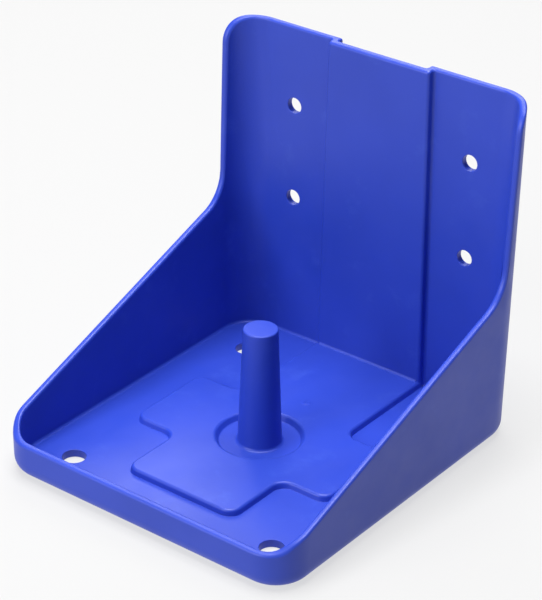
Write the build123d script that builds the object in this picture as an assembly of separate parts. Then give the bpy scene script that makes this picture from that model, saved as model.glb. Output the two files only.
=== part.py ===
"""Wall holder for a stable lick block: a tray, a tall back plate and a centre spindle.

Millimetres, +Z up. The origin is under the middle of the holder: the underside is z = 0,
the wall side is +Y and the open side is -Y. The real holder is one plastic moulding. It is
modelled once, as the whole moulding, and then cut into its named sections, which meet
face to face.
"""

import math
import os

from build123d import *

# ---- overall ----
overall_width = 221.0         # across the cheeks at the top of the back plate
overall_depth = 236.0         # from the wall face to the front of the lip
overall_height = 220.3        # from the underside to the top of the back plate
wall = 4.5                    # plate thickness of the cheeks, the lip and the back plate
floor_thickness = 5.2         # plate thickness of the floor and the platform
side_draft = 0.84             # degrees that each cheek leans outwards

# ---- corners and edges ----
back_corner_radius = 25.5     # upright corners beside the wall, outside
front_corner_radius = 23.0    # upright corners beside the lip, outside
base_radius = 9.0             # between the outside faces and the underside
floor_fillet = 1.8            # between the inside faces and the floor
rim_radius = 1.7              # on both edges of the free rim

# ---- free edge, as seen from the side ----
lip_height = 23.4             # top of the low front lip
lip_run = 5.5                 # the rim is level for this far back from the front
ramp_run = 14.0               # and has reached the cheek's slope this far back
ramp_height = 30.5            # height of the rim there
shoulder_height = 101.5       # where the cheek's slope would meet the flange
shoulder_radius = 25.0        # hollow curve between the slope and the flange
flange_depth = 25.7           # flange at the shoulder, from the wall face
flange_top_depth = 21.1       # flange at the top, from the wall face
flange_top_radius = 17.0      # rounded upper corner of the flange
lip_blend_radius = 12.0       # between the level lip and its ramp
ramp_blend_radius = 30.0      # between the ramp and the slope

# ---- centre strip, which stands forward of the back plate ----
strip_offset = 5.0            # how far it stands forward
strip_top_half = 37.0         # half its width at the top
strip_base_half = 40.4        # half its width at the underside
strip_edge_radius = 2.0       # along its upright edges

# ---- raised platform on the floor, and its arms, measured at the platform's top ----
platform_rise = 4.0           # above the floor
platform_half = 40.4          # half the width of the fore-and-aft arm
platform_front = 38.9         # from the front of the holder to the arm's end
arm_half = 73.5               # from the middle to the end of a side arm
arm_front = 85.1              # from the front of the holder to the side arms
arm_rear = 148.0              # from the front of the holder to their rear edge
platform_corner = 8.0         # outer corners, seen from above
platform_notch = 9.0          # inner corners, seen from above
platform_draft = 8.0          # degrees that its sides lean
platform_edge = 2.0           # rounding along its top edge

# ---- spindle and the dish round it ----
spindle_from_front = 115.8    # spindle axis, from the front of the holder
spindle_base_radius = 13.6
spindle_top_radius = 10.6
spindle_height = 82.9         # from the underside of the holder to its flat top
spindle_wall = 4.0            # the spindle is hollow and open underneath
spindle_fillet = 2.0
spindle_tip_radius = 1.0
dish_radius = 27.1            # at the platform's top, before its lip is rounded
dish_floor_radius = 25.0
dish_lip_radius = 3.5         # round the dish's lip
dish_fillet = 2.0             # between the dish's side and its floor

# ---- holes ----
screw_hole_radius = 5.2
screw_spacing_x = 130.7
screw_spacing_z = 63.6
screw_low_z = 104.1
drain_hole_radius = 7.3
drain_spacing_x = 150.1
drain_front_inset = 31.5      # the two front drains, from the front of the holder
drain_rear_inset = 38.5       # the two rear drains, from the wall face

# ---- where the moulding is divided into sections ----
section_margin = 0.3          # a dividing plane's distance past the end of a rounding
spindle_margin = 0.5          # room round the spindle's foot fillet
strip_margin = 1.0            # room beside the strip's inner fillets
platform_margin = 2.0         # room round the platform, at its top edge
shoulder_share = 0.25         # part of the shoulder's curve that stays with a back corner

# ---- derived places ----
rear = overall_depth / 2
front = -overall_depth / 2
floor_top = floor_thickness
platform_top = floor_top + platform_rise
spindle_y = front + spindle_from_front
past = 10.0                   # how far cutting tools run past the surface


def half_width(z, inset=0.0):
    """Half the outside width at a height, less an inset measured across the wall."""
    lean = math.radians(side_draft)
    return overall_width / 2 - (overall_height - z) * math.tan(lean) - inset / math.cos(lean)


def strip_half(z):
    """Half the width of the centre strip at a height."""
    return strip_base_half + (strip_top_half - strip_base_half) * z / overall_height


def front_view_prism(points, y_from, y_to):
    """A prism with an outline in X and Z, running from one Y to another."""
    outline = make_face(Polyline(*[(x, y_from, z) for x, z in points], close=True))
    return extrude(outline, amount=y_to - y_from, dir=(0, 1, 0))


def upright_edges(solid, y):
    """The near-upright edges of a solid that lie in the plane at y."""
    upright = [e for e in solid.edges() if abs(e.tangent_at(0.5).Z) > 0.9]
    return [e for e in upright if abs(e.center().Y - y) < 0.01]


def tapered_block(inset, z_low, corner_inset, low_radius):
    """A block with leaning sides, rounded upright corners and a rounded lower edge."""
    z_high = overall_height + past
    low, high = half_width(z_low, inset), half_width(z_high, inset)
    points = [(-low, z_low), (low, z_low), (high, z_high), (-high, z_high)]
    block = front_view_prism(points, front + inset, rear - inset)
    block = fillet(upright_edges(block, front + inset), front_corner_radius - corner_inset)
    block = fillet(upright_edges(block, rear - inset), back_corner_radius - corner_inset)
    low_edges = block.edges().group_by(Axis.Z)[0]
    return fillet(low_edges, low_radius)


def strip_block(y_from, y_to, inset, z_low):
    """The tapering centre strip as a block, made narrower by an inset on each side."""
    z_high = overall_height + past
    low, high = strip_half(z_low) - inset, strip_half(z_high) - inset
    points = [(-low, z_low), (low, z_low), (high, z_high), (-high, z_high)]
    return front_view_prism(points, y_from, y_to)


def platform_outline(inset=0.0):
    """The platform seen from above: one fore-and-aft arm crossed by two side arms."""
    stem, arm = platform_half - inset, arm_half - inset
    y_front = front + platform_front + inset
    y_rear = rear - wall - strip_offset / 2
    y_arms = (front + arm_front + inset, front + arm_rear - inset)
    fore_and_aft = Pos(0, (y_front + y_rear) / 2) * Rectangle(2 * stem, y_rear - y_front)
    side_arms = Pos(0, sum(y_arms) / 2) * Rectangle(2 * arm, y_arms[1] - y_arms[0])
    outline = fore_and_aft + side_arms
    notches = [(x, y) for x in (-stem, stem) for y in y_arms]
    corners = [(x, y) for x in (-arm, arm) for y in y_arms] + [(-stem, y_front), (stem, y_front)]
    outline = fillet(vertices_near(outline, notches), platform_notch + inset)
    return fillet(vertices_near(outline, corners), max(platform_corner - inset, 1.0))


def vertices_near(shape, places):
    """The vertices of a flat shape that lie at any of the places."""
    return [v for v in shape.vertices() if is_near((v.X, v.Y), places)]


def is_near(point, others):
    """True where a point coincides with one of the others."""
    return any(math.dist(point, other) < 0.01 for other in others)


def free_edge_cutter():
    """The space above the rim: lip, ramp, sloping cheek, shoulder, flange and top."""
    flange_low = rear - flange_depth
    flange_high = rear - flange_top_depth
    top = overall_height
    bends = [
        ((front + lip_run, lip_height), lip_blend_radius),
        ((front + ramp_run, ramp_height), ramp_blend_radius),
        ((flange_low, shoulder_height), shoulder_radius),
        ((flange_high, top), flange_top_radius),
    ]
    points = [(front - past, lip_height)] + [bend[0] for bend in bends]
    points += [(rear + past, top), (rear + past, top + 2 * past), (front - past, top + 2 * past)]
    x_start = -overall_width / 2 - past
    face = make_face(Polyline(*[(x_start, y, z) for y, z in points], close=True))
    for place, radius in bends:
        vertex = [v for v in face.vertices() if is_near((v.Y, v.Z), [place])]
        face = fillet(vertex, radius)
    return extrude(face, amount=overall_width + 2 * past, dir=(1, 0, 0))


def border_edges(faces):
    """Edges that only one of the faces has, so not the lines where two of them meet."""
    edges = [edge for face in faces for edge in face.edges()]
    return [e for e in edges if sum(e.is_same(other) for other in edges) == 1]


def round_rim(body, cutter):
    """Round both edges of the free rim, all the way from the lip to the top of the back."""
    rim_faces = [f for f in body.faces() if cutter.distance_to(f.position_at(0.5, 0.5)) < 0.001]
    return fillet(border_edges(rim_faces), rim_radius)


def upright_shell():
    """The tray and back plate with the centre strip, cut to the free edge and rounded."""
    shell = tapered_block(0, 0, 0, base_radius) - tapered_block(wall, floor_top, wall, floor_fillet)
    step = rear - wall - strip_offset
    shell += strip_block(step, rear - wall / 2, 0, floor_top / 2)
    shell = fillet(upright_edges(shell, step), strip_edge_radius)
    inner_corners = [e for e in upright_edges(shell, rear - wall) if abs(e.center().X) < strip_base_half]
    shell = fillet(inner_corners, strip_edge_radius)
    channel = strip_block(rear - strip_offset, rear + past, wall, -past)
    shell -= fillet(upright_edges(channel, rear - strip_offset), strip_edge_radius)
    cutter = free_edge_cutter()
    return round_rim(shell - cutter, cutter)


def disc(radius, z_low, z_high, top_radius=None):
    """A disc or a cone on the spindle's axis, between two heights."""
    height = z_high - z_low
    if top_radius is None:
        solid = Cylinder(radius, height)
    else:
        solid = Cone(radius, top_radius, height)
    return Pos(0, spindle_y, z_low + height / 2) * solid


def edges_at(solid, z, radius):
    """The round edges on the spindle's axis at a height, of a given radius."""
    circles = solid.edges().filter_by(GeomType.CIRCLE)
    circles = [e for e in circles if abs(e.radius - radius) < 0.05 and abs(e.center().Z - z) < 0.01]
    return [e for e in circles if abs(e.arc_center.Y - spindle_y) < 0.01]


def platform_block():
    """The raised platform, drawn downward and outward from its top, with a rounded top edge."""
    outline = Pos(0, 0, platform_top) * platform_outline()
    block = extrude(outline, amount=-platform_rise - wall / 2, taper=-platform_draft)
    top_edges = block.faces().sort_by(Axis.Z)[-1].edges()
    return fillet([e for e in top_edges if e.center().Y < rear - wall - strip_offset], platform_edge)


def with_platform(body):
    """Raise the platform, and hollow the underside to match, so that the plate stays even."""
    body += platform_block()
    hollow = extrude(platform_outline(wall), amount=platform_rise)
    hollow -= disc(dish_radius + wall, 0, platform_rise)
    return body - hollow


def with_dish(body):
    """Sink the round dish through the platform, down to the level of the floor."""
    bowl = disc(dish_floor_radius, floor_top, platform_top, dish_radius)
    body -= fillet(edges_at(bowl, floor_top, dish_floor_radius), dish_fillet)
    return fillet(edges_at(body, platform_top, dish_radius), dish_lip_radius)


def with_spindle(body):
    """Stand the tapered spindle in the dish, hollow and open underneath."""
    body += disc(spindle_base_radius, floor_top, spindle_height, spindle_top_radius)
    body = fillet(edges_at(body, spindle_height, spindle_top_radius), spindle_tip_radius)
    body = fillet(edges_at(body, floor_top, spindle_base_radius), spindle_fillet)
    core_base = spindle_base_radius - spindle_wall
    core_top = spindle_top_radius - spindle_wall
    return body - disc(core_base, -past, spindle_height - spindle_wall, core_top)


def with_holes(body):
    """Pierce four screw holes through the back plate and four drain holes in the floor."""
    for x in (-screw_spacing_x / 2, screw_spacing_x / 2):
        for z in (screw_low_z, screw_low_z + screw_spacing_z):
            body -= Pos(x, rear, z) * Rot(90, 0, 0) * Cylinder(screw_hole_radius, 4 * wall)
    for x in (-drain_spacing_x / 2, drain_spacing_x / 2):
        for y in (front + drain_front_inset, rear - drain_rear_inset):
            body -= Pos(x, y, 0) * Cylinder(drain_hole_radius, 4 * wall)
    return body


def moulding():
    """The whole holder as one solid."""
    return with_holes(with_spindle(with_dish(with_platform(upright_shell()))))


def box_between(x_from, x_to, y_from, y_to, z_from=-past, z_to=overall_height + past):
    """A box between two corners; it runs past the holder's top and underside."""
    size = (x_to - x_from, y_to - y_from, z_to - z_from)
    middle = ((x_from + x_to) / 2, (y_from + y_to) / 2, (z_from + z_to) / 2)
    return Pos(*middle) * Box(*size)


def section_regions():
    """The space of each section, in the order in which they are cut off the moulding."""
    side = overall_width / 2 + past
    rim_inset = base_radius + section_margin
    wall_x = half_width(0) - rim_inset
    back_y = rear - rim_inset
    lip_y = front + rim_inset
    back_x = half_width(0) - back_corner_radius
    lip_x = half_width(0) - front_corner_radius
    back_corner_y = rear - max(back_corner_radius, flange_depth) - shoulder_share * shoulder_radius
    lip_corner_y = front + front_corner_radius + section_margin
    strip = strip_base_half + strip_edge_radius + strip_margin
    platform_side = extrude(Pos(0, 0, -past) * platform_outline(-platform_margin), amount=overall_height)
    spindle_foot = spindle_base_radius + spindle_fillet + spindle_margin
    yield "spindle", disc(spindle_foot, floor_top, overall_height)
    yield "spindle_dish", disc(dish_radius + wall, -past, overall_height)
    yield "rear_left_corner", box_between(-side, -back_x, back_corner_y, rear + past)
    yield "rear_right_corner", box_between(back_x, side, back_corner_y, rear + past)
    yield "front_left_corner", box_between(-side, -lip_x, front - past, lip_corner_y)
    yield "front_right_corner", box_between(lip_x, side, front - past, lip_corner_y)
    yield "back_centre_strip", box_between(-strip, strip, back_y - strip_offset, rear + past)
    yield "back_left_wing", box_between(-side, -strip, back_y, rear + past)
    yield "back_right_wing", box_between(strip, side, back_y, rear + past)
    yield "front_lip", box_between(-lip_x, lip_x, front - past, lip_y)
    yield "left_cheek", box_between(-side, -wall_x, front, rear)
    yield "right_cheek", box_between(wall_x, side, front, rear)
    yield "block_platform", platform_side
    yield "front_floor", box_between(-platform_half, platform_half, front, front + platform_front)
    yield "left_floor", box_between(-side, 0, front, rear)
    yield "right_floor", box_between(0, side, front, rear)


def sections():
    """Cut the moulding into its named sections, one after another."""
    rest = moulding()
    parts = {}
    for name, region in section_regions():
        parts[name] = rest & region
        rest = rest - region
    if rest.volume > 1:
        raise ValueError("some of the moulding is in no section")
    return parts


def main():
    os.makedirs("parts", exist_ok=True)
    for name, shape in sections().items():
        export_step(shape, f"parts/{name}.step")
        print(f"{name}: {shape.volume / 1000:.1f} cm3, {len(shape.solids())} solid")


main()
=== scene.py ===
# %% [markdown]
# # A wall holder for a stable lick block
# The real holder is one blue plastic moulding: a tray with a low front lip, two sloping
# cheeks, a tall back plate and a hollow spindle that the lick block drops over. The packed
# CAD model is loaded first, because it fixes where everything is. Every surface is then
# made again in Blender, finer than the CAD has it, and divided into the same sections.

import math

import bmesh
import bpy
from mathutils import Matrix, Vector
from mathutils.bvhtree import BVHTree
from mathutils.interpolate import poly_3d_calc


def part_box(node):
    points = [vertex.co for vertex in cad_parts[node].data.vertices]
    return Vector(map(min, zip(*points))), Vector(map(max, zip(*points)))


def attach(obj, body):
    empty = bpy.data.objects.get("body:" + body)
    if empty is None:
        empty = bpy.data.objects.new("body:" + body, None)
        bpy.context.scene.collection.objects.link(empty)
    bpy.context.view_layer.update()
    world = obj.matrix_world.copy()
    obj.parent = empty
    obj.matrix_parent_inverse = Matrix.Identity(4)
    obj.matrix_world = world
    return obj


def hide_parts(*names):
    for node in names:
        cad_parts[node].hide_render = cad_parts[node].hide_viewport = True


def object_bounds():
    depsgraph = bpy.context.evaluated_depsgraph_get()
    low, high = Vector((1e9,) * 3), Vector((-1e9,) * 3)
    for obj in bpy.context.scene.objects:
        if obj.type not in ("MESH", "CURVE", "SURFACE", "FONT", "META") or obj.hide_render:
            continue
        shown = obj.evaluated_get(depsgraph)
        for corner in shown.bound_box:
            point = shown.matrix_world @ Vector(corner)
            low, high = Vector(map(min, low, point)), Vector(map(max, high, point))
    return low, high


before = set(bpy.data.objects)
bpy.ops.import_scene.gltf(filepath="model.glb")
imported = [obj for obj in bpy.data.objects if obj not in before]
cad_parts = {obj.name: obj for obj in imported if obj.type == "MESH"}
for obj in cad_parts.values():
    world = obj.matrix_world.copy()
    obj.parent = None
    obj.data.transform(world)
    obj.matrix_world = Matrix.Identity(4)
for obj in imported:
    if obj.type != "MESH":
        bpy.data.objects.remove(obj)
cad_low, cad_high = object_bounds()
MM = 0.001
print("CAD nodes:", len(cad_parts))

# %% [markdown]
# ## Sizes
# Blender works in metres, but a maker thinks about a small moulding in millimetres, so the
# sizes below are in millimetres and are only turned into metres when a mesh is made. The
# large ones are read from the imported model's boxes, so that the two always agree.

# %% Read the main sizes from the model
def box_mm(node):
    """The lowest and highest corners of a CAD node, in millimetres."""
    low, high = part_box(node)
    return Vector(low) / MM, Vector(high) / MM


TOP_WIDTH = 221.0  # where the cheeks' planes meet the top, before its edge is rounded
FRONT = cad_low.y / MM
REAR = cad_high.y / MM
HEIGHT = cad_high.z / MM
WALL = 4.5
FLOOR = box_mm("left_floor")[1].z
PLATFORM_TOP = box_mm("block_platform")[1].z
DISH_LOW, DISH_HIGH = box_mm("spindle_dish")
SPINDLE_LOW, SPINDLE_HIGH = box_mm("spindle")
SPINDLE_Y = (DISH_LOW.y + DISH_HIGH.y) / 2
DRAFT = math.tan(math.radians(0.84))
print(f"{TOP_WIDTH:.0f} wide, {REAR - FRONT:.0f} deep, {HEIGHT:.0f} high, floor {FLOOR:.1f} mm thick")


# %% [markdown]
# ## The tray's outline, seen from above
# Inside and outside, the tray and its back plate follow one line that runs from the middle
# of the front lip, round a corner, along a cheek, round the back corner, along the back
# plate and over the step of the centre strip. The cheeks lean outwards a little so that the
# moulding comes out of its mould, and the strip narrows upwards, so the line depends on the
# height. A function that gives a point for a height and a place along the line is the
# simplest way to hold all that. A place is a number: its whole part is the stretch of the
# line, and the rest is how far along that stretch the point is.

# %% Describe both faces of the wall
def half_width(z, inset):
    """Half the width at a height, less an inset."""
    return TOP_WIDTH / 2 - (HEIGHT - z) * DRAFT - inset


STRIP_STEP, STRIP_FOOT_HALF, STRIP_NARROWING = 5.0, 40.4, 3.4


def strip_half(z):
    """Half the width of the centre strip at a height."""
    return STRIP_FOOT_HALF - STRIP_NARROWING * z / HEIGHT


INSIDE = dict(wall=WALL, front_corner=18.5, back_corner=21.0, strip_in=0.0,
              strip_y=REAR - WALL - STRIP_STEP, mouth=2.0, edge=2.0, foot=1.8, floor=FLOOR)
OUTSIDE = dict(wall=0.0, front_corner=23.0, back_corner=25.5, strip_in=WALL,
               strip_y=REAR - STRIP_STEP, mouth=0.8, edge=2.0, foot=9.0, floor=0.0)


def arc(centre_x, centre_y, radius, start, turn, t):
    """A point on an arc, from a start angle in degrees through a turn."""
    angle = math.radians(start + turn * t)
    return centre_x + radius * math.cos(angle), centre_y + radius * math.sin(angle)


def line(x0, y0, x1, y1, t):
    """A point on a straight stretch."""
    return x0 + (x1 - x0) * t, y0 + (y1 - y0) * t


def plan_point(face, place, z, inset=0.0):
    """A point of the right half of the outline, at a height, moved in from the wall."""
    half = half_width(z, face["wall"] + inset)
    front = FRONT + face["wall"] + inset
    back = REAR - face["wall"] - inset
    front_corner = face["front_corner"] - inset
    back_corner = face["back_corner"] - inset
    strip = strip_half(z) - face["strip_in"]
    mouth, edge, strip_y = face["mouth"], face["edge"], face["strip_y"]
    mouth_y = REAR - face["wall"] - mouth
    stretch = min(int(place), 8)
    t = place - stretch
    if stretch == 0:
        return line(0, front, half - front_corner, front, t)
    if stretch == 1:
        return arc(half - front_corner, front + front_corner, front_corner, -90, 90, t)
    if stretch == 2:
        return line(half, front + front_corner, half, back - back_corner, t)
    if stretch == 3:
        return arc(half - back_corner, back - back_corner, back_corner, 0, 90, t)
    if stretch == 4:
        return line(half - back_corner, back, strip + mouth, back, t)
    if stretch == 5:
        x, y = arc(strip + mouth, mouth_y, mouth, 90, 90, t)
    elif stretch == 6:
        x, y = line(strip, mouth_y, strip, strip_y + edge, t)
    elif stretch == 7:
        x, y = arc(strip - edge, strip_y + edge, edge, 0, -90, t)
    else:
        x, y = line(strip - edge, strip_y, 0, strip_y, t)
    return x, min(y, back)


def stretch_lengths(face):
    """The length of each stretch at half the holder's height, for even spacing."""
    lengths = []
    for stretch in range(9):
        points = [Vector(plan_point(face, stretch + k / 24, HEIGHT / 2)) for k in range(24)]
        points.append(Vector(plan_point(face, stretch + 0.9999, HEIGHT / 2)))
        lengths.append(sum((b - a).length for a, b in zip(points, points[1:])))
    return lengths


for face in (INSIDE, OUTSIDE):
    face["lengths"] = stretch_lengths(face)
print("right half of the inside line:", round(sum(INSIDE["lengths"]), 1), "mm")

# %% [markdown]
# ## The free edge, seen from the side
# The edge is level along the lip, ramps up to the cheek, climbs the cheek in a straight
# line, turns up a narrow flange and rounds over into the top of the back plate. A maker
# would draw straight lines and round the bends, and `rounded_path` does the same.


# %% Draw the free edge as a rounded path
def rounded_path(corners, radii, step, turn_step):
    """Straight lines with rounded bends, as points no further apart than a step."""
    path = [Vector(corners[0])]
    for before, corner, after, radius in zip(corners, corners[1:], corners[2:], radii):
        corner = Vector(corner)
        back, ahead = (Vector(before) - corner).normalized(), (Vector(after) - corner).normalized()
        opening = back.angle(ahead)
        reach = radius / math.tan(opening / 2)
        centre = corner + (back + ahead).normalized() * radius / math.sin(opening / 2)
        start = corner + back * reach - centre
        turn = math.pi - opening
        if start.x * ahead.y - start.y * ahead.x < 0:
            turn = -turn
        count = max(2, math.ceil(abs(math.degrees(turn)) / turn_step))
        add_line(path, centre + start, step)
        for k in range(1, count + 1):
            path.append(centre + Matrix.Rotation(turn * k / count, 2) @ start)
    add_line(path, Vector(corners[-1]), step)
    return path


def add_line(path, end, step):
    """Lengthen a path by a straight stretch, divided evenly."""
    start = path[-1]
    count = max(1, math.ceil((end - start).length / step))
    path += [start.lerp(end, k / count) for k in range(1, count + 1)]


FLANGE_FOOT = REAR - 25.7
FLANGE_TOP = REAR - 21.1
LIP_TOP, RAMP_TOP, SHOULDER = 23.4, 30.5, 101.5
EDGE_CORNERS = [(FRONT, LIP_TOP), (FRONT + 5.5, LIP_TOP), (FRONT + 14.0, RAMP_TOP), (FLANGE_FOOT, SHOULDER),
                (FLANGE_TOP, HEIGHT), (REAR, HEIGHT)]
EDGE_RADII = [12.0, 30.0, 25.0, 17.0]
free_edge = rounded_path(EDGE_CORNERS, EDGE_RADII, 5.0, 6.0)


def edge_height(y):
    """The height of the free edge at a distance from the wall."""
    for a, b in zip(free_edge, free_edge[1:]):
        if a.x <= y <= b.x:
            return a.y + (b.y - a.y) * (y - a.x) / max(b.x - a.x, 1e-9)
    return free_edge[0].y if y < free_edge[0].x else free_edge[-1].y


print("free edge:", len(free_edge), "points, from", free_edge[0].y, "to", free_edge[-1].y, "mm high")

# %% [markdown]
# ## The skin of walls and floor
# The walls could be cut out of a block, but then the rounding of the edge would run over
# slivers. Instead both faces of the wall are laid out as rows of four-sided faces that fan
# out from the free edge to the foot of the wall, so that each row follows the edge. At the
# steep flange the rows fan round the back corner.


# %% Find where the free edge meets each face of the wall
def place_at(face, y):
    """The place along the outline, on a cheek or its corners, at a distance from the wall."""
    front = FRONT + face["wall"] + face["front_corner"]
    back = REAR - face["wall"] - face["back_corner"]
    if y <= front:
        return 2 + math.degrees(math.asin(max(-1, (y - front) / face["front_corner"]))) / 90
    if y <= back:
        return 2 + (y - front) / (back - front)
    return 3 + math.degrees(math.asin(min(1, (y - back) / face["back_corner"]))) / 90


def rim_places():
    """Pairs of places, inside and outside, along the free edge of the right half."""
    pairs = [(k / 16, k / 16) for k in range(16)] + [(1 + k / 12, 1 + k / 12) for k in range(12)]
    top_bend = [p for p in free_edge if p.y >= HEIGHT - 1e-6][0].x
    cheek_start = FRONT + OUTSIDE["front_corner"]
    rising = [p.x for p in free_edge if cheek_start + 2 < p.x < top_bend + 1e-6]
    pairs += [(place_at(INSIDE, y), place_at(OUTSIDE, y), y) for y in [cheek_start + 0.001] + rising]
    last_in, last_out = pairs[-1][:2]
    pairs += [(last_in + (4 - last_in) * k / 5, last_out + (4 - last_out) * k / 5) for k in range(1, 5)]
    for stretch, count in ((4, 12), (5, 4), (6, 1), (7, 4), (8, 10)):
        pairs += [(stretch + k / count, stretch + k / count) for k in range(count)]
    return pairs + [(9 - 1e-9, 9 - 1e-9)]


def rim_line(face, which):
    """The free edge on one face of the wall, as (place, height)."""
    line_points = []
    for pair in rim_places():
        place = pair[which]
        y = pair[2] if len(pair) > 2 else plan_point(face, place, HEIGHT)[1]
        line_points.append((place, edge_height(y)))
    return line_points


def length_at(face, place):
    """The distance along the outline to a place."""
    stretch = min(int(place), 8)
    return sum(face["lengths"][:stretch]) + face["lengths"][stretch] * (place - stretch)


def place_along(face, distance):
    """The place at a distance along the outline."""
    for stretch, length in enumerate(face["lengths"]):
        if distance <= length or stretch == 8:
            return stretch + min(max(distance / length, 0), 1 - 1e-9)
        distance -= length


print("points along half the free edge:", len(rim_line(INSIDE, 0)))


# %% [markdown]
# One face of the wall is then a table of rows. The first row is the free edge. The second
# follows it 2.6 mm further in, and leaves room for the edge to be rounded later. The
# others run down to the foot of the wall, round its fillet and on to the floor.


# %% Lay out one face of the wall in rows
WALL_ROWS = 14
RIM_BAND = 2.6


def feet(face, rim):
    """Where each row of faces meets the foot of the wall: spread out under the steep flange."""
    along = [length_at(face, place) for place, z in rim]
    first = next(i for i, (place, z) in enumerate(rim) if plan_point(face, place, z)[1] > 0)
    last = next(i for i, (place, z) in enumerate(rim) if place >= 5)
    travelled = [0.0]
    for i in range(first, last):
        travelled.append(travelled[-1] + math.hypot(along[i + 1] - along[i], rim[i + 1][1] - rim[i][1]))
    spread = [along[first] + (along[last] - along[first]) * t / travelled[-1] for t in travelled]
    return along[:first] + spread + along[last + 1:]


def second_row(face, rim):
    """The free edge moved into the wall by the width of the rim band, as (length, height)."""
    points = [Vector((length_at(face, place), z)) for place, z in rim]
    row = []
    for i, point in enumerate(points):
        ahead = points[i + 1] - point if i + 1 < len(points) else Vector((1, 0))
        behind = point - points[i - 1] if i else Vector((1, 0))
        run = ahead.normalized() + behind.normalized()
        run.normalize()
        row.append(point + Vector((run.y, -run.x)) * RIM_BAND)
    row[0].x, row[-1].x = points[0].x, points[-1].x
    return row


def wall_rows(face, which):
    """All rows of one face of the wall, as points of the right half."""
    rim = rim_line(face, which)
    band, foot = second_row(face, rim), feet(face, rim)
    foot_z = face["floor"] + face["foot"]
    rows = [[(*plan_point(face, place, z), z) for place, z in rim]]
    for step in range(WALL_ROWS + 1):
        row = []
        for start, end in zip(band, foot):
            spot = start.lerp(Vector((end, foot_z)), step / WALL_ROWS)
            row.append((*plan_point(face, place_along(face, spot.x), spot.y), spot.y))
        rows.append(row)
    for step in range(1, 9):
        angle = math.radians(90 * step / 8)
        inset = face["foot"] * (1 - math.cos(angle))
        z = face["floor"] + face["foot"] * (1 - math.sin(angle))
        rows.append([(*plan_point(face, place_along(face, end), z, inset), z) for end in foot])
    return rows


def whole_loop(row):
    """Both halves of a row, from the middle of the lip round to the middle of the lip."""
    return row + [(-x, y, z) for x, y, z in reversed(row[1:-1])]


inside_rows = [whole_loop(row) for row in wall_rows(INSIDE, 0)]
outside_rows = [whole_loop(row) for row in wall_rows(OUTSIDE, 1)]
print("rows:", len(inside_rows), "x", len(inside_rows[0]), "points")


# %% [markdown]
# The two tables become one closed mesh. The free edge joins them, and its two sharp lines
# are marked so that a Bevel modifier rounds only those. The floor and the underside are
# single faces with many corners, because they are flat.


# %% Join the rows into a closed skin
def to_object(name, mesh):
    """Put a mesh into the scene as an object at the origin."""
    piece = bpy.data.objects.new(name, mesh)
    bpy.context.scene.collection.objects.link(piece)
    return piece


def finish_mesh(name, bm):
    """Weld doubled points, turn the faces outwards and make the object."""
    bmesh.ops.remove_doubles(bm, verts=bm.verts, dist=0.002 * MM)
    bmesh.ops.recalc_face_normals(bm, faces=bm.faces)
    mesh = bpy.data.meshes.new(name)
    bm.to_mesh(mesh)
    bm.free()
    mesh.shade_smooth()
    return to_object(name, mesh)


def bridge(bm, ring_a, ring_b):
    """Four-sided faces between two rings of points."""
    for k in range(len(ring_a)):
        after = (k + 1) % len(ring_a)
        bm.faces.new((ring_a[k], ring_a[after], ring_b[after], ring_b[k]))


def add_rings(bm, rows):
    """Points for each row, in metres."""
    return [[bm.verts.new(Vector(point) * MM) for point in row] for row in rows]


def bake(piece):
    """Turn the result of an object's modifiers into its plain mesh."""
    depsgraph = bpy.context.evaluated_depsgraph_get()
    mesh = bpy.data.meshes.new_from_object(piece.evaluated_get(depsgraph))
    piece.modifiers.clear()
    piece.data = mesh
    return piece


EDGE_ROUNDING, EDGE_SEGMENTS = 1.7, 6


def make_skin():
    """The walls and the floor as one closed mesh, with its free edge rounded."""
    bm = bmesh.new()
    inside, outside = add_rings(bm, inside_rows), add_rings(bm, outside_rows)
    for rings in (inside, outside):
        for ring_a, ring_b in zip(rings, rings[1:]):
            bridge(bm, ring_a, ring_b)
        bm.faces.new(rings[-1])
    bridge(bm, inside[0], outside[0])
    weights = bm.edges.layers.float.new("bevel_weight_edge")
    for ring in (inside[0], outside[0]):
        for k in range(len(ring)):
            bm.edges.get((ring[k - 1], ring[k]))[weights] = 1.0
    skin = finish_mesh("skin", bm)
    rounding = skin.modifiers.new("round the free edge", "BEVEL")
    rounding.width = EDGE_ROUNDING * MM
    rounding.segments = EDGE_SEGMENTS
    rounding.limit_method = "WEIGHT"
    rounding.use_clamp_overlap = False
    return bake(skin)


whole = make_skin()
print("skin faces:", len(whole.data.polygons))

# %% [markdown]
# ## The raised platform
# The block stands on a platform with two side arms, so that brine runs off around it. Seen
# from above it is a cross with rounded corners. Its side is a short profile: a small cove
# at the floor, a leaning side and a rounded top edge. Rings of the outline, each moved in
# by a different amount, follow that profile, and this is how a lofted solid is made.


# %% Draw the platform's outline at any offset
STEM_HALF, ARM_HALF = 40.4, 73.5
STEM_FRONT, ARM_FRONT, ARM_REAR = FRONT + 38.9, FRONT + 85.1, FRONT + 148.0
STEM_REAR = REAR - WALL - STRIP_STEP / 2
OUTER_CORNER, INNER_CORNER = 8.0, 9.0


def platform_outline(inset):
    """The platform seen from above, as a ring of points; each offset has the same count."""
    stem, arm = STEM_HALF - inset, ARM_HALF - inset
    ring = [(stem, STEM_REAR)]
    bends = [(stem, ARM_REAR - inset, False, 90), (arm, ARM_REAR - inset, True, 180),
             (arm, ARM_FRONT + inset, True, 90), (stem, ARM_FRONT + inset, False, 180),
             (stem, STEM_FRONT + inset, True, 90)]
    for x, y, is_outer, start in bends:
        ring += corner_points(x, y, is_outer, inset)
    return ring + [(-x, y) for x, y in reversed(ring)]


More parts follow.
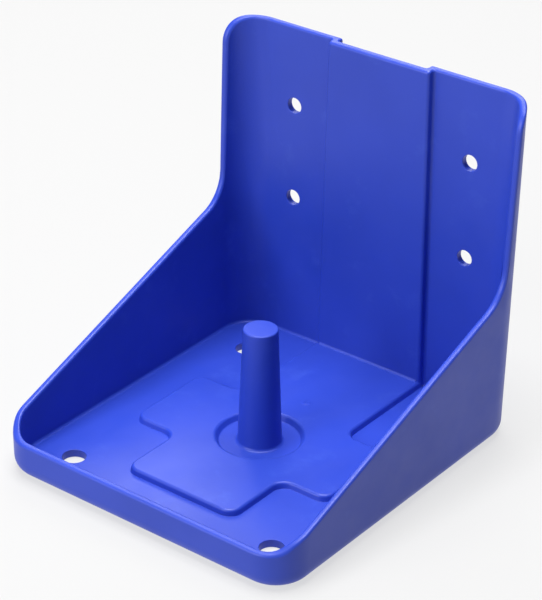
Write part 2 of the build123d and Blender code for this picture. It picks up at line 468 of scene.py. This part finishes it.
def corner_points(x, y, is_outer, inset, count=8):
    """A rounded corner of the right half, walked from the wall to the front."""
    radius = OUTER_CORNER - inset if is_outer else INNER_CORNER + inset
    at_rear = abs(y - ARM_REAR) < 10
    if is_outer:
        centre = (x - radius, y - radius if at_rear else y + radius)
        start, turn = (90, -90) if at_rear else (0, -90)
    else:
        centre = (x + radius, y + radius if at_rear else y - radius)
        start, turn = (180, 90) if at_rear else (90, 90)
    return [arc(*centre, radius, start, turn, k / count) for k in range(count + 1)]


def loft(name, sections):
    """A closed solid through rings of equal count, capped at both ends."""
    bm = bmesh.new()
    rings = add_rings(bm, sections)
    for ring_a, ring_b in zip(rings, rings[1:]):
        bridge(bm, ring_a, ring_b)
    bm.faces.new(rings[0])
    bm.faces.new(rings[-1])
    return finish_mesh(name, bm)


def rise(profile, outline):
    """Rings of an outline that follow a profile of (inset, height)."""
    return [[(x, y, z) for x, y in outline(inset)] for inset, z in profile]


TOP_EDGE, BASE_COVE = 2.0, 0.35
LEAN = 8  # degrees that the platform's sides lean


def platform_profile():
    """The platform's side from under the floor to its top, as (inset, height)."""
    height = PLATFORM_TOP - FLOOR
    foot_inset = -height * math.tan(math.radians(LEAN))
    profile = [(foot_inset - BASE_COVE, FLOOR - 0.5)]
    for k in range(7):
        angle = math.radians((90 - LEAN) * k / 6)
        profile.append((foot_inset - BASE_COVE + BASE_COVE * math.sin(angle),
                        FLOOR - 0.02 + BASE_COVE * (1 - math.cos(angle))))
    for k in range(7):
        angle = math.radians(LEAN + (90 - LEAN) * k / 6)
        profile.append((TOP_EDGE * (1 - math.cos(angle)) - 0.1,
                        PLATFORM_TOP - TOP_EDGE + TOP_EDGE * math.sin(angle)))
    return profile


platform = loft("platform", rise(platform_profile(), platform_outline))
print("platform faces:", len(platform.data.polygons))


# %% [markdown]
# ## Joining and cutting
# The platform, and a small cove where it meets the centre strip, are joined to the skin
# with the exact Boolean modifier. The hollow under the platform keeps the plastic even, as
# a moulder must, so it is cut from below. The round dish is left as a hole here, because
# it is turned separately.


# %% Join the platform to the skin
def combine(target, tool, operation):
    """Join, cut or intersect with another closed object, which is then used up."""
    step = target.modifiers.new(operation.lower(), "BOOLEAN")
    step.operation = operation
    step.object = tool
    step.solver = "EXACT"
    bake(target)
    bpy.data.objects.remove(tool)
    return target


def strip_cove():
    """A quarter-round hollow along the foot of the centre strip."""
    radius, end = 1.6, 38.0
    y, z = INSIDE["strip_y"], PLATFORM_TOP
    section = [(y + 1.0, z + radius), (y + 1.0, z - 1.0), (y - radius, z - 1.0)]
    for k in range(9):
        angle = math.radians(90 * k / 8)
        section.append((y - radius + radius * math.sin(angle), z - 0.01 + radius * (1 - math.cos(angle))))
    return loft("cove", [[(x, py, pz) for py, pz in section] for x in (-end, end)])


def round_cutter(radius, z_low, z_high, count=128):
    """A round cutter on the spindle's axis."""
    ring = [arc(0, SPINDLE_Y, radius, 0, 360, k / count) for k in range(count)]
    return loft("round cutter", [[(x, y, z) for x, y in ring] for z in (z_low, z_high)])


DISH_RING = (DISH_HIGH.x - DISH_LOW.x) / 2
combine(whole, platform, "UNION")
combine(whole, strip_cove(), "UNION")
hollow = loft("hollow", rise([(WALL, -5), (WALL, PLATFORM_TOP - FLOOR)], platform_outline))
combine(whole, hollow, "DIFFERENCE")
combine(whole, round_cutter(DISH_RING, -5, 30), "DIFFERENCE")
print("faces after joining:", len(whole.data.polygons))

# %% [markdown]
# ## Turned shapes with Geometry Nodes
# The spindle, its dish and the tools that cut the holes are all round, and a lathe makes
# round things. This node tree is a lathe: it takes a profile drawn as a line of points,
# radius across and height up, and sweeps it round a circle. It ends in Realize Instances
# and Set Material, and the ends on the axis are welded, so that there is no open pole.


# %% Build the lathe
def node_tree(name, inputs):
    """A Geometry Nodes tree with named inputs; returns it and its input node."""
    tree = bpy.data.node_groups.new(name, "GeometryNodeTree")
    tree.interface.new_socket("Geometry", in_out="INPUT", socket_type="NodeSocketGeometry")
    for label, kind in inputs:
        tree.interface.new_socket(label, in_out="INPUT", socket_type=kind)
    tree.interface.new_socket("Geometry", in_out="OUTPUT", socket_type="NodeSocketGeometry")
    return tree, tree.nodes.new("NodeGroupInput")


def chain(tree, start, steps):
    """Link a line of geometry nodes from a socket to the tree's output."""
    socket = start
    for node, into, out in steps:
        tree.links.new(socket, node.inputs[into])
        socket = node.outputs[out]
    tree.links.new(socket, tree.nodes.new("NodeGroupOutput").inputs[0])


def make_lathe():
    """The tree that turns a profile into a round solid."""
    tree, entry = node_tree("lathe", [("Sides", "NodeSocketInt"), ("Finish", "NodeSocketMaterial")])
    upright = tree.nodes.new("GeometryNodeTransform")
    upright.inputs["Rotation"].default_value = (math.pi / 2, 0, 0)
    to_curve = tree.nodes.new("GeometryNodeMeshToCurve")
    circle = tree.nodes.new("GeometryNodeCurvePrimitiveCircle")
    circle.inputs["Radius"].default_value = 1e-7
    sweep = tree.nodes.new("GeometryNodeCurveToMesh")
    weld = tree.nodes.new("GeometryNodeMergeByDistance")
    weld.inputs["Distance"].default_value = 0.004 * MM
    realize = tree.nodes.new("GeometryNodeRealizeInstances")
    finish = tree.nodes.new("GeometryNodeSetMaterial")
    tree.links.new(entry.outputs["Sides"], circle.inputs["Resolution"])
    tree.links.new(entry.outputs["Finish"], finish.inputs["Material"])
    tree.links.new(circle.outputs["Curve"], sweep.inputs["Curve"])
    chain(tree, entry.outputs["Geometry"], [
        (upright, "Geometry", "Geometry"), (to_curve, "Mesh", "Curve"),
        (sweep, "Profile Curve", "Mesh"), (weld, "Geometry", "Geometry"),
        (realize, "Geometry", "Geometry"), (finish, "Geometry", "Geometry")])
    return tree


def set_inputs(piece, tree, values):
    """Add the tree as a modifier and set its inputs by their identifiers."""
    step = piece.modifiers.new(tree.name, "NODES")
    step.node_group = tree
    for item in tree.interface.items_tree:
        if item.item_type == "SOCKET" and item.in_out == "INPUT" and item.name in values:
            step[item.identifier] = values[item.name]


lathe = make_lathe()
print("lathe nodes:", len(lathe.nodes))


# %% [markdown]
# A turned piece starts as its profile, a mesh of points and edges only. The tree sweeps it,
# the result becomes a plain mesh, and the mesh is moved to the spindle's axis.


# %% Turn a profile
def turn(name, profile, sides, closed=False):
    """A round solid on the Z axis from a profile of (radius, height) in millimetres."""
    mesh = bpy.data.meshes.new(name)
    count = len(profile)
    edges = [(k, k + 1) for k in range(count - 1)] + ([(count - 1, 0)] if closed else [])
    mesh.from_pydata([(r * MM, 0, z * MM) for r, z in profile], edges, [])
    piece = to_object(name, mesh)
    set_inputs(piece, lathe, {"Sides": sides})
    bake(piece)
    bm = bmesh.new()
    bm.from_mesh(piece.data)
    bmesh.ops.recalc_face_normals(bm, faces=bm.faces)
    bm.to_mesh(piece.data)
    bm.free()
    piece.data.shade_smooth()
    return piece


def move_mesh(piece, matrix):
    """Move the points of a mesh and leave its object at the origin."""
    piece.data.transform(matrix)
    return piece


def fillet_points(centre_r, centre_z, radius, start, turn_by, count):
    """Points of a rounding in a profile."""
    return [arc(centre_r, centre_z, radius, start, turn_by, k / count) for k in range(count + 1)]


CORE_START, CORE_LENGTH = -10, 88.9
CORE_FOOT_RADIUS, CORE_NARROWING = 9.6, 3.0


def core_radius(z):
    """Radius of the spindle's tapered hollow at a height."""
    return CORE_FOOT_RADIUS - CORE_NARROWING * (z - CORE_START) / CORE_LENGTH


def spindle_profile():
    """From the axis down inside the hollow, then up the outside and over the tip."""
    base_r, tip_r, fillet, tip = 13.6, 10.6, 2.0, 1.0
    top, foot_z = SPINDLE_HIGH.z, FLOOR
    slope = math.degrees(math.atan((base_r - tip_r) / (top - foot_z)))
    roof = top - 4.0
    points = [(0, roof), (3.0, roof)]
    points += fillet_points(core_radius(roof) - 1, roof - 1, 1, 90, -90, 4)
    points += [(core_radius(z), z) for z in (roof - 1 - (roof - 1 - foot_z) * k / 10 for k in range(1, 11))]
    foot_r = (SPINDLE_HIGH.x - SPINDLE_LOW.x) / 2
    points += fillet_points(foot_r, foot_z + fillet, fillet, 270, slope - 90, 10)
    side_start, side_end = Vector(points[-1]), Vector((tip_r, top - tip))
    points += [tuple(side_start.lerp(side_end, k / 12)) for k in range(1, 12)]
    points += fillet_points(tip_r - tip, top - tip, tip, slope, 90 - slope, 6)
    return points + [(tip_r / 2, top), (0, top)]


def dish_profile():
    """The dish and the ring of platform round it, once round the section."""
    rim_r, floor_r, lip, fillet = 27.1, 25.0, 2.4, 1.0
    top, outer = PLATFORM_TOP, DISH_RING
    lean = math.degrees(math.atan((rim_r - floor_r) / (top - FLOOR)))
    points = [(outer, 0), (outer, top)]
    reach = math.tan(math.radians(90 - lean) / 2)
    points += fillet_points(rim_r + lip * reach, top - lip, lip, 90, 90 - lean, 10)
    points += fillet_points(floor_r - fillet * reach, FLOOR + fillet, fillet, -lean, lean - 90, 10)
    bevel = 0.6
    mouth = core_radius(bevel)
    points += [(19.0, FLOOR), (16.0, FLOOR), (core_radius(FLOOR), FLOOR), (mouth, bevel)]
    return points + [(mouth + bevel / 3, bevel / 4), (mouth + bevel, 0)]


def soften(mesh, sharp_degrees=38):
    """Smooth shading that stays flat on flat faces and breaks at sharp edges."""
    mesh.shade_smooth()
    mesh.set_sharp_from_angle(angle=math.radians(sharp_degrees))


def weigh_normals(piece):
    """Let the large flat faces lead the shading of the small roundings beside them."""
    step = piece.modifiers.new("weighted normals", "WEIGHTED_NORMAL")
    step.keep_sharp = True
    return bake(piece)


to_axis = Matrix.Translation((0, SPINDLE_Y * MM, 0))
spindle = move_mesh(turn("turned spindle", spindle_profile(), 96), to_axis)
dish = move_mesh(turn("turned dish", dish_profile(), 128, closed=True), to_axis)
for piece in (spindle, dish):
    soften(piece.data)
    weigh_normals(piece)
    print(piece.name, len(piece.data.polygons), "faces")


# %% [markdown]
# ## The holes
# Four screw holes pass through the back plate and four drain holes through the floor. They
# repeat, so one tool is turned on the lathe, and a second node tree sets a copy of it at
# every point of a small mesh that holds nothing but the holes' places. The tool widens a
# little at both faces, which leaves each hole with the soft lip that moulded plastic has.


# %% Set a tool at every hole and cut them all at once
def make_repeat():
    """The tree that sets a copy of an object at every point."""
    tree, entry = node_tree("repeat at points", [
        ("Tool", "NodeSocketObject"), ("Tilt", "NodeSocketFloat"), ("Finish", "NodeSocketMaterial")])
    tool = tree.nodes.new("GeometryNodeObjectInfo")
    turned = tree.nodes.new("ShaderNodeCombineXYZ")
    copies = tree.nodes.new("GeometryNodeInstanceOnPoints")
    realize = tree.nodes.new("GeometryNodeRealizeInstances")
    finish = tree.nodes.new("GeometryNodeSetMaterial")
    tree.links.new(entry.outputs["Tool"], tool.inputs["Object"])
    tree.links.new(tool.outputs["Geometry"], copies.inputs["Instance"])
    tree.links.new(entry.outputs["Tilt"], turned.inputs["X"])
    tree.links.new(turned.outputs["Vector"], copies.inputs["Rotation"])
    tree.links.new(entry.outputs["Finish"], finish.inputs["Material"])
    chain(tree, entry.outputs["Geometry"], [
        (copies, "Points", "Instances"), (realize, "Geometry", "Geometry"),
        (finish, "Geometry", "Geometry")])
    return tree


def hole_profile(radius, thickness, lip=0.35):
    """A plug as long as the plate is thick, flared at both ends."""
    half = thickness / 2
    quarter = [(radius + lip - lip * math.cos(math.radians(a)), half - lip + lip * math.sin(math.radians(a)))
               for a in (0, 20, 40, 60, 80)]
    flare = [(radius + lip + 1.2, half + 0.5), (radius + lip + 1.2, half + 2), (0, half + 2)]
    upper = quarter + flare
    return [(r, -z) for r, z in reversed(upper)] + upper


repeat = make_repeat()
SCREW_RADIUS, SCREW_X, SCREW_Z = 5.2, 65.35, (104.1, 167.7)
DRAIN_RADIUS, DRAIN_X, DRAIN_Y = 7.3, 75.05, (FRONT + 31.5, REAR - 38.5)
screw_spots = [(x, REAR - WALL / 2, z) for x in (-SCREW_X, SCREW_X) for z in SCREW_Z]
drain_spots = [(x, y, FLOOR / 2) for x in (-DRAIN_X, DRAIN_X) for y in DRAIN_Y]
holes = [("screw", SCREW_RADIUS, WALL, screw_spots, math.pi / 2),
         ("drain", DRAIN_RADIUS, FLOOR, drain_spots, 0.0)]
for kind, radius, thickness, spots, tilt in holes:
    tool = turn(kind + " tool", hole_profile(radius, thickness), 64)
    points = bpy.data.meshes.new(kind + " places")
    points.from_pydata([Vector(spot) * MM for spot in spots], [], [])
    tools = to_object(kind + " tools", points)
    set_inputs(tools, repeat, {"Tool": tool, "Tilt": tilt})
    bake(tools)
    combine(whole, tools, "DIFFERENCE")
    bpy.data.objects.remove(tool)
    print("cut", len(spots), kind, "holes")
soften(whole.data)
weigh_normals(whole)

# %% [markdown]
# ## Dividing the moulding into its sections
# A maker names the parts of a moulding: its cheeks, corners, lip, floor and platform. The
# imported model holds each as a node, so the mesh is divided where those meet. Each section
# is the overlap of the moulding and a simple block, and the block is then cut from what is
# left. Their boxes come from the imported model.


# %% Cut the sections off one after another
FAR = 150.0


def block(x0, x1, y0, y1):
    """A block from below the tray to above the back plate."""
    rings = [[(x0, y0, z), (x1, y0, z), (x1, y1, z), (x0, y1, z)] for z in (-20, HEIGHT + 20)]
    return loft("block", rings)


def section_blocks():
    """Each section's block, in the order in which they are cut off."""
    corner, front_corner = box_mm("rear_right_corner")[0], box_mm("front_right_corner")
    strip, wing = box_mm("back_centre_strip"), box_mm("back_right_wing")[0]
    lip_y, cheek_x = box_mm("front_lip")[1].y, box_mm("right_cheek")[0].x
    front_x, front_y = front_corner[0].x, front_corner[1].y
    yield "rear_left_corner", block(-FAR, -corner.x, corner.y, FAR)
    yield "rear_right_corner", block(corner.x, FAR, corner.y, FAR)
    yield "front_left_corner", block(-FAR, -front_x, -FAR, front_y)
    yield "front_right_corner", block(front_x, FAR, -FAR, front_y)
    yield "back_centre_strip", block(-strip[1].x, strip[1].x, strip[0].y, FAR)
    yield "back_left_wing", block(-FAR, 0, wing.y, FAR)
    yield "back_right_wing", block(0, FAR, wing.y, FAR)
    yield "front_lip", block(-FAR, FAR, -FAR, lip_y)
    yield "left_cheek", block(-FAR, -cheek_x, -FAR, FAR)
    yield "right_cheek", block(cheek_x, FAR, -FAR, FAR)
    margin = ARM_HALF - box_mm("block_platform")[1].x
    yield "block_platform", loft("block", rise([(margin, -20), (margin, HEIGHT)], platform_outline))
    yield "front_floor", block(-STEM_HALF, STEM_HALF, -FAR, STEM_FRONT)
    yield "left_floor", block(-FAR, 0, -FAR, FAR)
    yield "right_floor", block(0, FAR, -FAR, FAR)


def copy_of(piece, name):
    """A second object with its own mesh."""
    return to_object(name, piece.data.copy())


def divide(moulding):
    """The sections by name."""
    rest = copy_of(moulding, "rest")
    sections = {}
    for name, tool in section_blocks():
        sections[name] = combine(copy_of(rest, "section " + name), copy_of(tool, "tool"), "INTERSECT")
        combine(rest, tool, "DIFFERENCE")
    bpy.data.objects.remove(rest)
    return sections


def volume_cm3(piece):
    """The volume that a closed mesh holds."""
    bm = bmesh.new()
    bm.from_mesh(piece.data)
    volume = bm.calc_volume() * 1e6
    bm.free()
    return volume


sections = divide(whole)
sections["spindle"], sections["spindle_dish"] = spindle, dish
for name, piece in sections.items():
    print(f"{name}: {len(piece.data.polygons)} faces, {volume_cm3(piece):.1f} cm3")


# %% [markdown]
# ## One shading across the seams
# Two sections that meet on a rounding would each shade it by their own faces alone, and a
# faint line would show where they meet. So every corner of every face borrows its normal
# from the undivided moulding. Faces that the dividing made have no match there and keep
# their own, and so do the large flats, which have nothing to blend.


# %% Borrow the normals of the undivided moulding
FLAT_AREA = 200 * MM * MM
NEARLY_FLAT = math.cos(math.radians(1.0))
SAME_SPOT, SAME_SIDE = 1e-6, 0.98


def lies_flat(face):
    """Whether a face belongs to the flats of the back plate, the floor or the platform."""
    level = abs(face.normal.z) > NEARLY_FLAT and face.center.z < (PLATFORM_TOP + 1) * MM
    return level or abs(face.normal.y) > NEARLY_FLAT


def borrow_normals(piece, master, tree):
    """Give a section's corners the normals of the moulding at the same points."""
    mesh = piece.data
    mesh.shade_smooth()
    corner_normals = [n.vector.copy() for n in master.corner_normals]
    normals = []
    for face in mesh.polygons:
        flat = lies_flat(face)
        for index in face.vertices:
            point = mesh.vertices[index].co
            probe = point.lerp(face.center, 0.01)
            spot, normal, match, distance = tree.find_nearest(probe)
            source = master.polygons[match]
            unmatched = distance > SAME_SPOT or normal.dot(face.normal) < SAME_SIDE
            if flat or unmatched or source.area > FLAT_AREA:
                normals.append(face.normal.copy())
                continue
            weights = poly_3d_calc([master.vertices[v].co for v in source.vertices], point)
            parts = (corner_normals[loop] * weight for loop, weight in zip(source.loop_indices, weights))
            blended = sum(parts, Vector()).normalized()
            normals.append(face.normal.copy() if blended.dot(face.normal) > NEARLY_FLAT else blended)
    mesh.normals_split_custom_set(normals)


master = whole.data
tree = BVHTree.FromPolygons([v.co for v in master.vertices], [p.vertices for p in master.polygons])
for name, piece in sections.items():
    if name not in ("spindle", "spindle_dish"):
        borrow_normals(piece, master, tree)
print("normals borrowed by", len(sections) - 2, "sections")


# %% [markdown]
# ## The mark of the injection point
# Molten plastic enters a mould at one point, and the stub that is cut off there leaves a
# small round mark. It sits on the platform behind the spindle. It is turned on the same
# lathe, as a low swelling whose height follows a cosine, so that its edge has no step.


# %% Turn the injection mark
MARK_RADIUS, MARK_RISE, MARK_ROOT = 3.3, 0.45, 0.5
MARK_RINGS, MARK_Y = 10, 43.8


def mark_profile():
    """A low swelling with a soft edge, sunk a little into the platform."""
    points = [(0, PLATFORM_TOP - MARK_ROOT), (MARK_RADIUS, PLATFORM_TOP - MARK_ROOT)]
    for ring in range(MARK_RINGS + 1):
        share = 1 - ring / MARK_RINGS
        points.append((MARK_RADIUS * share, PLATFORM_TOP + MARK_RISE * (1 + math.cos(math.pi * share)) / 2))
    return points


mark = move_mesh(turn("turned mark", mark_profile(), 32), Matrix.Translation((0, MARK_Y * MM, 0)))
soften(mark.data)
weigh_normals(mark)
print("mark:", len(mark.data.polygons), "faces")

# %% [markdown]
# ## Satin blue plastic
# The holder is dyed right through, so it has one colour, with a satin surface. Three things
# keep such plastic from looking like paint: a faint pebbled skin left by the mould, patches
# where the sheen changes with the flow of the melt, and small scuffs where it is rubbed a
# little paler. All of them come from noise on Object coordinates, so that they run on across
# the sections without a break. Wear that follows Pointiness isn't used, because that value is
# spread over whole faces, and a large flat face would show it as streaks.


# %% Make the plastic
def noise(tree, coordinates, scale, detail, roughness=0.5):
    """A noise texture; its scale is in bumps per metre."""
    node = tree.nodes.new("ShaderNodeTexNoise")
    node.inputs["Scale"].default_value = scale
    node.inputs["Detail"].default_value = detail
    node.inputs["Roughness"].default_value = roughness
    tree.links.new(coordinates, node.inputs["Vector"])
    return node.outputs["Fac"]


def remap(tree, value, low, high, to_low, to_high):
    """Stretch a range of values to another range, clamped."""
    node = tree.nodes.new("ShaderNodeMapRange")
    for name, number in (("From Min", low), ("From Max", high), ("To Min", to_low), ("To Max", to_high)):
        node.inputs[name].default_value = number
    tree.links.new(value, node.inputs["Value"])
    return node.outputs["Result"]


def blend_colours(tree, factor, colour_a, colour_b):
    """Mix two colours; either may be a socket."""
    node = tree.nodes.new("ShaderNodeMix")
    node.data_type = "RGBA"
    tree.links.new(factor, node.inputs["Factor"])
    for socket, colour in ((node.inputs[6], colour_a), (node.inputs[7], colour_b)):
        if isinstance(colour, tuple):
            socket.default_value = (*colour, 1)
        else:
            tree.links.new(colour, socket)
    return node.outputs[2]


BLUE, DEEP_BLUE, RUBBED_BLUE = (0.024, 0.058, 0.485), (0.020, 0.051, 0.44), (0.06, 0.12, 0.58)


def make_plastic():
    """Satin blue moulded plastic."""
    material = bpy.data.materials.new("satin_blue_plastic")
    material.use_nodes = True
    tree = material.node_tree
    surface = tree.nodes["Principled BSDF"]
    surface.inputs["IOR"].default_value = 1.49
    surface.inputs["Specular IOR Level"].default_value = 0.4
    place = tree.nodes.new("ShaderNodeTexCoord").outputs["Object"]
    flow = noise(tree, place, 14, 3)
    cloud = noise(tree, place, 60, 4)
    tone = blend_colours(tree, remap(tree, flow, 0.35, 0.65, 0, 1), BLUE, DEEP_BLUE)
    scuffs = noise(tree, place, 38, 6, 0.7)
    rubbed = blend_colours(tree, remap(tree, scuffs, 0.58, 0.74, 0, 0.3), tone, RUBBED_BLUE)
    tree.links.new(rubbed, surface.inputs["Base Color"])
    tree.links.new(remap(tree, cloud, 0.3, 0.7, 0.36, 0.46), surface.inputs["Roughness"])
    pebble = tree.nodes.new("ShaderNodeBump")
    pebble.inputs["Strength"].default_value = 0.12
    pebble.inputs["Distance"].default_value = 0.05 * MM
    tree.links.new(noise(tree, place, 900, 2), pebble.inputs["Height"])
    tree.links.new(pebble.outputs["Normal"], surface.inputs["Normal"])
    return material


plastic = make_plastic()
print("plastic nodes:", len(plastic.node_tree.nodes))

# %% [markdown]
# ## Handing the sections to the frame
# Each section stands for the CAD node of the same name. It rides on the holder's one body,
# and it is given the satin blue plastic.


# %% Name the sections and hand them over
def hand_over(piece, name):
    """Give a piece its name, its plastic and its body."""
    piece.name = piece.data.name = name
    piece.data.materials.clear()
    piece.data.materials.append(plastic)
    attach(piece, "root")


bpy.data.objects.remove(whole)
for name, piece in sections.items():
    hand_over(piece, "moulded_" + name)
    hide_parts(name)
hand_over(mark, "injection_mark")
print("pieces handed over:", len(sections) + 1)

# %% [markdown]
# ## Floor, light and camera
# A satin moulding shows what stands around it, so it is lit like a product in a studio. The
# paper under it glows a little, as on a light table, which keeps its shadow pale. One large
# soft light hangs overhead and gives the floor of the tray its brightness. A low light in
# front reaches the back plate, and one behind draws the bright line along the rim.

# %% Lay the floor and hang the lights
def plain_surface(name, colour, roughness, glow):
    """A plain matt material for the surroundings, with a faint even glow."""
    material = bpy.data.materials.new(name)
    material.use_nodes = True
    shader = material.node_tree.nodes["Principled BSDF"]
    shader.inputs["Base Color"].default_value = (*colour, 1)
    shader.inputs["Roughness"].default_value = roughness
    shader.inputs["Specular IOR Level"].default_value = 0.0
    shader.inputs["Emission Color"].default_value = (1, 1, 1, 1)
    shader.inputs["Emission Strength"].default_value = glow
    return material


FLOOR_REACH = 20.0  # metres to each side, so that its edge stays out of low views


def make_floor():
    """A wide sheet of pale paper under the holder."""
    bm = bmesh.new()
    bmesh.ops.create_grid(bm, x_segments=2, y_segments=2, size=FLOOR_REACH)
    bmesh.ops.translate(bm, verts=bm.verts, vec=(0, 0, -0.2 * MM))
    mesh = bpy.data.meshes.new("pale_floor")
    bm.to_mesh(mesh)
    bm.free()
    mesh.materials.append(plain_surface("pale_paper", colour=(0.15, 0.15, 0.15), roughness=0.9, glow=0.66))
    floor = to_object("pale_floor", mesh)
    return floor


def soft_light(name, place, target, size, power):
    """A square soft light that points at a target."""
    light = bpy.data.lights.new(name, "AREA")
    light.size = size
    light.energy = power
    lamp = bpy.data.objects.new(name, light)
    lamp.location = place
    aim = Vector(target) - Vector(place)
    lamp.rotation_euler = aim.to_track_quat("-Z", "Y").to_euler()
    bpy.context.scene.collection.objects.link(lamp)
    return lamp


def surround(strength):
    """An even white surround."""
    world = bpy.data.worlds.new("surround")
    world.use_nodes = True
    sky = world.node_tree.nodes["Background"]
    sky.inputs["Color"].default_value = (1, 1, 1, 1)
    sky.inputs["Strength"].default_value = strength
    bpy.context.scene.world = world


make_floor()
surround(0.06)
soft_light("top_light", place=(-0.10, 0.00, 2.4), target=(0, 0, 0.05), size=1.4, power=88)
soft_light("front_light", place=(-0.6, -1.8, 0.9), target=(0, 0, 0), size=1.0, power=27)
soft_light("back_light", place=(-1.1, 1.5, 1.7), target=(0, 0, 0), size=1.5, power=30)
bpy.context.scene.view_settings.view_transform = "Standard"


# %% [markdown]
# The camera looks down on the holder from the front right, through a long lens, so its
# lines hardly converge. Its turn is given as the direction that it looks in, a tilt and a
# small roll, and three unit vectors make its matrix.


# %% Set the camera
def set_camera(place, turn_deg, tilt_deg, roll_deg, lens, shift_x, shift_y):
    """A camera at a place in metres, turned from +Y to its left, tilted and rolled."""
    turn_by, tilt, roll = (math.radians(a) for a in (turn_deg, tilt_deg, roll_deg))
    ahead = Vector((-math.sin(turn_by) * math.cos(tilt), math.cos(turn_by) * math.cos(tilt), math.sin(tilt)))
    level = Vector((math.cos(turn_by), math.sin(turn_by), 0))
    above = level.cross(ahead)
    right = level * math.cos(roll) + above * math.sin(roll)
    up = above * math.cos(roll) - level * math.sin(roll)
    camera = bpy.data.objects.new("camera", bpy.data.cameras.new("camera"))
    camera.matrix_world = Matrix.Translation(place) @ Matrix((right, up, -ahead)).transposed().to_4x4()
    camera.data.sensor_fit = "HORIZONTAL"
    camera.data.sensor_width = 36
    camera.data.lens = lens
    camera.data.shift_x, camera.data.shift_y = shift_x, shift_y
    camera.data.clip_start, camera.data.clip_end = 0.05, 30
    bpy.context.scene.collection.objects.link(camera)
    bpy.context.scene.camera = camera


set_camera((0.7294, -0.9388, 0.7591), turn_deg=38.06, tilt_deg=-28.98, roll_deg=0.49,
           lens=153.70, shift_x=0.0281, shift_y=0.0013)
print("camera lens:", bpy.context.scene.camera.data.lens, "mm")

# %% [markdown]
# ## The CAD box
# The CAD model's box is printed, in millimetres. The visual model has to stay inside
# the CAD model's box.

# %% Print the CAD model's box
print("CAD box   ", [round(v / MM, 2) for v in (*cad_low, *cad_high)])
